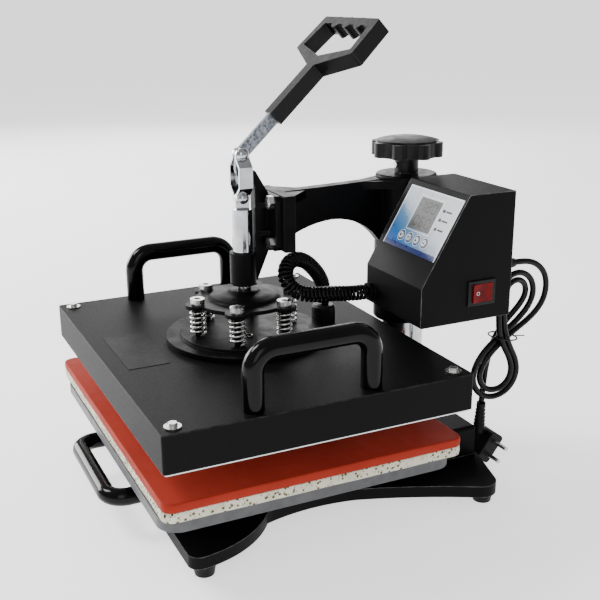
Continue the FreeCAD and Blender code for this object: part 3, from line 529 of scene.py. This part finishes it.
digits = make_digits()
window_border, lamp_marks = make_overlay_frame()
button_marks = make_button_marks()
dark_rims, pale_rims = make_button_rims()

rocker_mark = ring_mesh("rocker_mark", place(146.1, 181.6, 212.5), Vector((1, 0.07, 0)).normalized(),
                        1.7 * MM, 0.22 * MM)
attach(rocker_mark, "rocker")
disc_ring = ring_mesh("disc_ring", place(24, -6, 161.6), Vector((0, 0, 1)), 4.2 * MM, 0.6 * MM)
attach(disc_ring, "platen")


# ---------------------------------------------------------------- materials
MIX_FACTOR, MIX_A, MIX_B, MIX_RESULT = 0, 6, 7, 2  # a Mix node's sockets when it mixes colours


class Finish:
    """A procedural material: one principled shader fed by noise in object coordinates."""

    def __init__(self, name, colour, rough, metallic=0.0, specular=0.5):
        self.material = bpy.data.materials.new(name)
        self.material.use_nodes = True
        self.tree = self.material.node_tree
        self.tree.nodes.clear()
        self.out = self.add("ShaderNodeOutputMaterial")
        self.shader = self.add("ShaderNodeBsdfPrincipled")
        self.join(self.shader, "BSDF", self.out, "Surface")
        self.place = self.add("ShaderNodeTexCoord")
        self.shader.inputs["Base Color"].default_value = (*colour, 1)
        self.shader.inputs["Roughness"].default_value = rough
        self.shader.inputs["Metallic"].default_value = metallic
        self.shader.inputs["Specular IOR Level"].default_value = specular
        self.colour = None
        self.normal = None

    def add(self, kind, **settings):
        node = self.tree.nodes.new(kind)
        for key, value in settings.items():
            setattr(node, key, value)
        return node

    def join(self, a, out, b, into):
        self.tree.links.new(a.outputs[out], b.inputs[into])

    def noise(self, scale, detail=3.0, stretch=None):
        node = self.add("ShaderNodeTexNoise")
        node.inputs["Scale"].default_value = scale
        node.inputs["Detail"].default_value = detail
        source, socket = self.place, "Object"
        if stretch:
            source, socket = self.add("ShaderNodeMapping"), "Vector"
            source.inputs["Scale"].default_value = stretch
            self.join(self.place, "Object", source, "Vector")
        self.join(source, socket, node, "Vector")
        return node

    def calc(self, operation, source, out, number=None):
        """A maths node; its second input is a number, or is joined afterwards."""
        node = self.add("ShaderNodeMath", operation=operation)
        self.join(source, out, node, 0)
        if number is not None:
            node.inputs[1].default_value = number
        return node

    def ramp(self, source, out, stops):
        node = self.add("ShaderNodeValToRGB")
        while len(node.color_ramp.elements) < len(stops):
            node.color_ramp.elements.new(0.5)
        for element, (at, colour) in zip(node.color_ramp.elements, stops):
            element.position = at
            element.color = (*colour, 1)
        self.join(source, out, node, "Fac")
        return node

    def paint(self, source, out):
        self.join(source, out, self.shader, "Base Color")
        self.colour = (source, out)

    def mottle(self, scale, dark, light, detail=4.0, stretch=None, low=0.3, high=0.7):
        """Colour that drifts between two shades."""
        shades = [(low, dark), (high, light)]
        self.paint(self.ramp(self.noise(scale, detail, stretch), "Fac", shades), "Color")
        return self

    def over(self, mask, out, colour):
        """Another colour over what is there, where the mask is white."""
        mix = self.add("ShaderNodeMix", data_type="RGBA")
        source, socket = self.colour
        self.join(source, socket, mix, MIX_A)
        mix.inputs[MIX_B].default_value = (*colour, 1)
        self.join(mask, out, mix, MIX_FACTOR)
        self.paint(mix, MIX_RESULT)
        return self

    def rub(self, scale, low, high, detail=5.0, stretch=None):
        """Roughness that varies between two values."""
        shades = [(0.3, (low,) * 3), (0.7, (high,) * 3)]
        node = self.ramp(self.noise(scale, detail, stretch), "Fac", shades)
        self.join(node, "Color", self.shader, "Roughness")
        return self

    def grain(self, scale, strength, depth, detail=2.0, stretch=None):
        """A fine relief; depth is its height in metres."""
        bump = self.add("ShaderNodeBump")
        bump.inputs["Strength"].default_value = strength
        bump.inputs["Distance"].default_value = depth
        source = self.noise(scale, detail, stretch)
        self.join(source, "Fac", bump, "Height")
        if self.normal:
            self.join(self.normal, "Normal", bump, "Normal")
        self.join(bump, "Normal", self.shader, "Normal")
        self.normal = bump
        return self

    def wear_and_edge_highlight(self, radius, colour, amount=1.0):
        """Lighter edges: partly wear from handling, partly a painted highlight where the studio light would
        catch them.
        """
        bevel = self.add("ShaderNodeBevel", samples=4)
        bevel.inputs["Radius"].default_value = radius
        shape = self.add("ShaderNodeNewGeometry")
        dot = self.add("ShaderNodeVectorMath", operation="DOT_PRODUCT")
        self.join(bevel, "Normal", dot, 0)
        self.join(shape, "Normal", dot, 1)
        edge = self.ramp(dot, "Value", [(0.80, (amount,) * 3), (0.993, (0, 0, 0))])
        edge_patches = self.ramp(self.noise(140.0, 4.0), "Fac", [(0.38, (0.35,) * 3), (0.62, (1, 1, 1))])
        both = self.calc("MULTIPLY", edge, "Color")
        self.join(edge_patches, "Color", both, 1)
        # painted highlight with some wear: the edge colour laid over the patchy mask of sharp edges
        return self.over(both, "Value", colour)


def powder_coat():
    f = Finish("black_powder_coat_look", (0.003, 0.003, 0.0035), 0.5, specular=0.07)
    f.mottle(9.0, (0.0027, 0.0027, 0.0031), (0.0035, 0.0035, 0.0039))
    f.rub(420.0, 0.46, 0.54).grain(900.0, 0.35, 0.00025).grain(2600.0, 0.25, 0.0001)
    # painted highlight with some wear: pale grey along the black coat's sharp edges
    return f.wear_and_edge_highlight(0.0011, (0.30, 0.30, 0.31), 0.9)


def enamel():
    f = Finish("black_casting_look", (0.002, 0.002, 0.0025), 0.40, specular=0.06)
    f.mottle(16.0, (0.0015, 0.0015, 0.0019), (0.003, 0.003, 0.0034))
    f.rub(70.0, 0.30, 0.46).grain(320.0, 0.25, 0.0004).grain(1300.0, 0.2, 0.0001)
    # painted highlight with some wear: dark grey along the casting's sharp edges
    return f.wear_and_edge_highlight(0.0010, (0.05, 0.05, 0.053), 0.7)


def tube_enamel():
    f = Finish("gloss_black_tube_look", (0.0012, 0.0012, 0.0014), 0.14, specular=0.15)
    f.mottle(22.0, (0.001, 0.001, 0.0012), (0.002, 0.002, 0.0023))
    return f.rub(90.0, 0.10, 0.18).grain(420.0, 0.08, 0.0002)


def rubber_black(name, shade, low, high):
    f = Finish(name, (shade,) * 3, 0.5, specular=0.16)
    f.mottle(40.0, (shade * 0.7,) * 3, (shade * 1.4,) * 3)
    return f.rub(150.0, low, high).grain(1500.0, 0.3, 0.0001)


def chrome():
    f = Finish("chrome_steel_look", (0.42, 0.43, 0.45), 0.1, metallic=1.0)
    f.mottle(60.0, (0.34, 0.35, 0.37), (0.50, 0.51, 0.53))
    return f.rub(260.0, 0.07, 0.2).grain(900.0, 0.06, 0.0001)


def zinc(name, low, high):
    f = Finish(name, (0.55, 0.55, 0.54), 0.25, metallic=1.0)
    f.mottle(120.0, (0.42, 0.43, 0.42), (0.64, 0.64, 0.62))
    return f.rub(320.0, low, high).grain(1400.0, 0.15, 0.0001)


def screw_look():
    """Zinc heads, with the shanks below the spider painted near black: painted shade, for the shadow inside
    the springs.
    """
    f = zinc("shoulder_screw_look", 0.2, 0.36)
    axes = f.add("ShaderNodeSeparateXYZ")
    f.join(f.place, "Object", axes, "Vector")
    # painted shade: near black below the spider's underside, where the springs shade the shanks
    shank_shade_mask = f.calc("LESS_THAN", axes, "Z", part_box("spider_plate")[0].z)
    return f.over(shank_shade_mask, "Value", (0.02, 0.02, 0.022))


def blasted_bar():
    f = Finish("steel_bar_look", (0.2, 0.22, 0.25), 0.42, metallic=0.6)
    f.mottle(420.0, (0.07, 0.085, 0.105), (0.33, 0.355, 0.39), detail=6.0, low=0.35, high=0.66)
    return f.rub(300.0, 0.3, 0.55).grain(700.0, 0.5, 0.0003)


def bed_metal():
    f = Finish("bed_aluminium_look", (0.09, 0.09, 0.095), 0.45, metallic=0.1, specular=0.25)
    f.mottle(30.0, (0.075, 0.077, 0.08), (0.105, 0.107, 0.112), stretch=(0.3, 3.0, 3.0))
    f.rub(90.0, 0.34, 0.5).grain(700.0, 0.2, 0.0002, stretch=(0.2, 4.0, 4.0))
    # painted highlight with some wear: light grey rim along the bed's sharp edges
    return f.wear_and_edge_highlight(0.001, (0.3, 0.3, 0.31), 0.7)


def plate_metal():
    f = Finish("plate_aluminium_look", (0.7, 0.7, 0.7), 0.3, metallic=1.0)
    f.mottle(30.0, (0.62, 0.62, 0.62), (0.78, 0.78, 0.78), stretch=(0.3, 4.0, 4.0))
    f.rub(90.0, 0.22, 0.4, stretch=(0.3, 4.0, 4.0))
    return f.grain(1200.0, 0.15, 0.0001, stretch=(0.2, 4.0, 4.0))


def bronze():
    f = Finish("bronze_look", (0.5, 0.34, 0.16), 0.35, metallic=1.0)
    f.mottle(80.0, (0.42, 0.28, 0.13), (0.58, 0.41, 0.21))
    return f.rub(200.0, 0.28, 0.45).grain(900.0, 0.2, 0.0001)


def silicone():
    f = Finish("red_silicone_look", (0.32, 0.028, 0.014), 0.55, specular=0.08)
    f.mottle(14.0, (0.28, 0.022, 0.011), (0.34, 0.030, 0.015))
    return f.rub(70.0, 0.5, 0.66).grain(420.0, 0.3, 0.0002).grain(1600.0, 0.25, 0.0001)


# a speck's Voronoi scale, its size as a share of a cell, and its colour
SPECKS = (
    (300.0, 0.38, (0.035, 0.040, 0.018)),
    (210.0, 0.32, (0.12, 0.09, 0.045)),
    (480.0, 0.38, (0.20, 0.20, 0.13)),
)
SPECK_GATE = 0.45                         # the share of cells that have no speck


def foam_look():
    """Ivory open-cell foam with dark green and brown specks and small pits."""
    f = Finish("ivory_foam_look", (0.6, 0.57, 0.42), 0.8, specular=0.08)
    f.mottle(60.0, (0.56, 0.53, 0.41), (0.72, 0.69, 0.57))
    for scale, edge, colour in SPECKS:
        cells = f.add("ShaderNodeTexVoronoi")
        cells.inputs["Scale"].default_value = scale
        f.join(f.place, "Object", cells, "Vector")
        near = f.ramp(cells, "Distance", [(edge * 0.75, (1, 1, 1)), (edge, (0, 0, 0))])
        chosen = f.add("ShaderNodeSeparateColor")
        f.join(cells, "Color", chosen, "Color")
        some = f.calc("GREATER_THAN", chosen, "Red", SPECK_GATE)
        mask = f.calc("MULTIPLY", near, "Color")
        f.join(some, "Value", mask, 1)
        f.over(mask, "Value", colour)
    return f.rub(200.0, 0.72, 0.9).grain(260.0, 0.6, 0.0006).grain(800.0, 0.5, 0.0003)


def plastic():
    f = Finish("black_plastic_look", (0.0025, 0.0025, 0.0028), 0.40, specular=0.2)
    f.mottle(28.0, (0.002, 0.002, 0.0023), (0.0035, 0.0035, 0.0038))
    # painted highlight with some wear: lighter grey along the plastic's sharp edges
    return f.rub(90.0, 0.34, 0.5).grain(1100.0, 0.3, 0.00015).wear_and_edge_highlight(0.0012, (0.06, 0.06, 0.063), 0.7)


def wool():
    f = Finish("ceramic_wool_look", (0.75, 0.73, 0.66), 0.9, specular=0.1)
    f.mottle(120.0, (0.66, 0.64, 0.57), (0.82, 0.8, 0.74))
    return f.rub(200.0, 0.85, 0.95).grain(500.0, 0.6, 0.0005, stretch=(1, 1, 3))


FILM_CORNER = (47.5, 27.5)                # the overlay's lower left corner on the slanted face
FILM_STRIP = 5.0 * MM                     # the height of the deep blue strip
FILM_EDGES = (("Y", 62.8, "GREATER_THAN"), ("X", 1.2, "LESS_THAN"), ("X", 90.8, "GREATER_THAN"))
FADE_SLANT, FADE_SCALE = 0.62, 12.0       # how the blue leans across the film, and its steps per metre


def overlay_look():
    """Silver film that runs to blue at its lower left, with a deep blue strip along the bottom."""
    f = Finish("overlay_film_look", (0.5, 0.6, 0.75), 0.3, specular=0.5)
    turn = f.add("ShaderNodeMapping", vector_type="POINT")
    foot = on_slope(*FILM_CORNER, 0)
    turned = Matrix.Rotation(-SLOPE, 3, "X") @ foot
    turn.inputs["Rotation"].default_value = (-SLOPE, 0, 0)
    turn.inputs["Location"].default_value = -turned
    f.join(f.place, "Object", turn, "Vector")
    axes = f.add("ShaderNodeSeparateXYZ")
    f.join(turn, "Vector", axes, "Vector")
    slant = f.calc("MULTIPLY", axes, "X", FADE_SLANT)
    total = f.calc("ADD", axes, "Y")
    f.join(slant, "Value", total, 1)
    along = f.calc("MULTIPLY", total, "Value", FADE_SCALE)
    shade = f.ramp(along, "Value", [(0.05, (0.008, 0.075, 0.33)), (0.28, (0.015, 0.13, 0.40)),
                                    (0.48, (0.10, 0.26, 0.47)), (0.66, (0.34, 0.42, 0.52)),
                                    (0.92, (0.50, 0.53, 0.58))])
    f.paint(shade, "Color")
    strip = f.calc("LESS_THAN", axes, "Y", FILM_STRIP)
    f.over(strip, "Value", (0.002, 0.015, 0.12))
    for axis, limit, kind in FILM_EDGES:
        f.over(f.calc(kind, axes, axis, limit * MM), "Value", (0.78, 0.80, 0.83))
    return f.rub(120.0, 0.24, 0.38).grain(2200.0, 0.12, 0.00005)


def flat_film(name, dark, light, rough_low, rough_high, specular=0.5):
    f = Finish(name, light, rough_low, specular=specular)
    f.mottle(180.0, dark, light)
    return f.rub(220.0, rough_low, rough_high).grain(1800.0, 0.1, 0.00005)


def switch_look():
    f = Finish("switch_red_look", (0.15, 0.001, 0.002), 0.3, specular=0.1)
    f.mottle(70.0, (0.06, 0.0005, 0.001), (0.20, 0.0015, 0.003))
    return f.rub(200.0, 0.25, 0.4).grain(900.0, 0.08, 0.0001)


looks = {
    "black_powder_coat": powder_coat(),
    "black_casting": enamel(),
    "gloss_black_tube": tube_enamel(),
    "black_rubber": rubber_black("black_rubber_look", 0.003, 0.38, 0.55),
    "chrome_steel": chrome(),
    "zinc_steel": zinc("zinc_steel_look", 0.2, 0.36),
    "spring_steel": zinc("spring_steel_look", 0.14, 0.28),
    "steel_bar": blasted_bar(),
    "bed_aluminium": bed_metal(),
    "plate_aluminium": plate_metal(),
    "bronze": bronze(),
    "red_silicone": silicone(),
    "ivory_foam": foam_look(),
    "black_plastic": plastic(),
    "ceramic_wool": wool(),
    "overlay_film": overlay_look(),
    "lcd_glass": flat_film("lcd_glass_look", (0.115, 0.115, 0.112), (0.15, 0.15, 0.145), 0.25, 0.36, 0.15),
    "led_lens": flat_film("led_lens_look", (0.012, 0.006, 0.010), (0.03, 0.012, 0.016), 0.12, 0.25),
    "button_white": flat_film("button_white_look", (0.62, 0.64, 0.67), (0.78, 0.8, 0.83), 0.25, 0.4),
    "switch_red": switch_look(),
    "circuit_board": flat_film("circuit_board_look", (0.01, 0.08, 0.03), (0.02, 0.14, 0.05), 0.3, 0.5),
    "pale_label": flat_film("pale_label_look", (0.004, 0.004, 0.0045), (0.006, 0.006, 0.0065),
                            0.42, 0.5, 0.06),
}
cord_look = rubber_black("cord_sheath_look", 0.002, 0.2, 0.34)
ink_look = flat_film("ink_look", (0.03, 0.03, 0.035), (0.06, 0.06, 0.065), 0.35, 0.5, 0.2)
lcd_ink_look = flat_film("lcd_ink_look", (0.06, 0.06, 0.06), (0.08, 0.08, 0.08), 0.3, 0.45, 0.15)
white_ink_look = flat_film("white_ink_look", (0.74, 0.76, 0.79), (0.86, 0.88, 0.9), 0.3, 0.45)


def wear(piece, look):
    piece.data.materials.clear()
    piece.data.materials.append(look.material)


slot_of = {subpart["node"]: subpart["material_slot"] for subpart in frame["record"]["subparts"]}
shoulder_look = screw_look()
for node, piece in frame["nodes"].items():
    look = shoulder_look if node == "shoulder_screws" else looks[slot_of[node]]
    for material_slot in piece.material_slots:
        material_slot.material = look.material

for piece, look, slot in (
    (curly_cord, cord_look, "black_rubber"), (mains_cord, cord_look, "black_rubber"),
    (plug, looks["black_rubber"], "black_rubber"), (foam, looks["ivory_foam"], "ivory_foam"),
    (rubber, looks["red_silicone"], "red_silicone"), (digits, lcd_ink_look, "lcd_glass"),
    (lamp_marks, ink_look, "overlay_film"), (window_border, white_ink_look, "overlay_film"),
    (dark_rims, ink_look, "overlay_film"), (pale_rims, white_ink_look, "overlay_film"),
    (rocker_mark, white_ink_look, "switch_red"), (disc_ring, looks["zinc_steel"], "zinc_steel"),
    *((mark, ink_look, "button_white") for mark in button_marks),
):
    wear(piece, look)


# ---------------------------------------------------------------- softened edges, and the springs
# the edge radius of each piece that is softened, in mm
EDGE_RADII = {
    "base_plate": 0.9, "bed_plate": 0.8, "box_back_cover": 0.3, "hand_grip": 1.0, "swing_arm": 1.2,
    "head_casting": 0.7, "spider_plate": 0.8, "pressure_disc": 0.5, "head_bolts": 0.35,
    "post_bolts": 0.35, "switch_frame": 0.3, "power_rocker": 0.4, "heating_plate": 0.5,
    "cover_screws": 0.3, "data_plate": 0.12, "star_knob": 1.0,
}


def soften(piece, radius):
    """Joins the face patches and rounds the sharp edges a little."""
    weld = piece.modifiers.new("join", "WELD")
    weld.merge_threshold = 0.01 * MM
    bevel = piece.modifiers.new("round", "BEVEL")
    bevel.width = radius * MM
    bevel.segments = 2
    bevel.limit_method = "ANGLE"
    bevel.angle_limit = math.radians(40)
    bevel.use_clamp_overlap = True
    normals = piece.modifiers.new("normals", "WEIGHTED_NORMAL")
    normals.keep_sharp = False


def make_spring_coils():
    """The springs as a piece of their own, carried with the platen."""
    coils = add_object("spring_coils", frame["nodes"]["platen_springs"].data.copy())
    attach(coils, "platen")
    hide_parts("platen_springs")
    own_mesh(coils)
    return coils


make_spring_coils()
for node, radius in EDGE_RADII.items():
    soften(frame["nodes"][node], radius)


# ---------------------------------------------------------------- floor and light
FLOOR = 300.0                             # half its width, so that no edge of it shows
FLOOR_GLOW = 1.2
SKY = 0.5


def make_stage():
    corners = [(x * FLOOR, y * FLOOR, 0) for x, y in ((-1, -1), (1, -1), (1, 1), (-1, 1))]
    floor = add_mesh("floor", corners, [(0, 1, 2, 3)])
    f = Finish("floor_look", (0.86, 0.86, 0.86), 0.6, specular=0.1)
    f.shader.inputs["Emission Color"].default_value = (1, 1, 1, 1)
    f.shader.inputs["Emission Strength"].default_value = FLOOR_GLOW
    f.mottle(1.5, (0.84, 0.84, 0.84), (0.88, 0.88, 0.88))
    f.rub(3.0, 0.5, 0.7).grain(300.0, 0.02, 0.0001)
    floor.data.materials.append(f.material)


def area_light(name, where, aim, size, power):
    data = bpy.data.lights.new(name, "AREA")
    data.shape = "RECTANGLE"
    data.size, data.size_y = size
    data.energy = power
    light = add_object(name, data)
    light.location = where
    light.rotation_euler = (Vector(aim) - Vector(where)).to_track_quat("-Z", "Y").to_euler()


def make_world(shade):
    world = bpy.data.worlds.new("studio")
    world.use_nodes = True
    back = world.node_tree.nodes["Background"]
    back.inputs["Color"].default_value = (1.0, 1.0, 1.0, 1)
    back.inputs["Strength"].default_value = shade
    bpy.context.scene.world = world


make_stage()
make_world(SKY)
area_light("key", (-1.3, -1.5, 2.2), (0, 0, 0.15), (0.9, 0.9), 62.0)
area_light("fill", (1.9, -1.1, 1.3), (0, 0, 0.2), (0.9, 1.6), 12.0)
area_light("left_front", (-2.2, -1.3, 0.75), (0, 0, 0.2), (1.5, 1.0), 80.0)
area_light("left_sheen", (-2.4, 0.9, 1.1), (-0.1, 0, 0.15), (1.6, 1.2), 26.0)
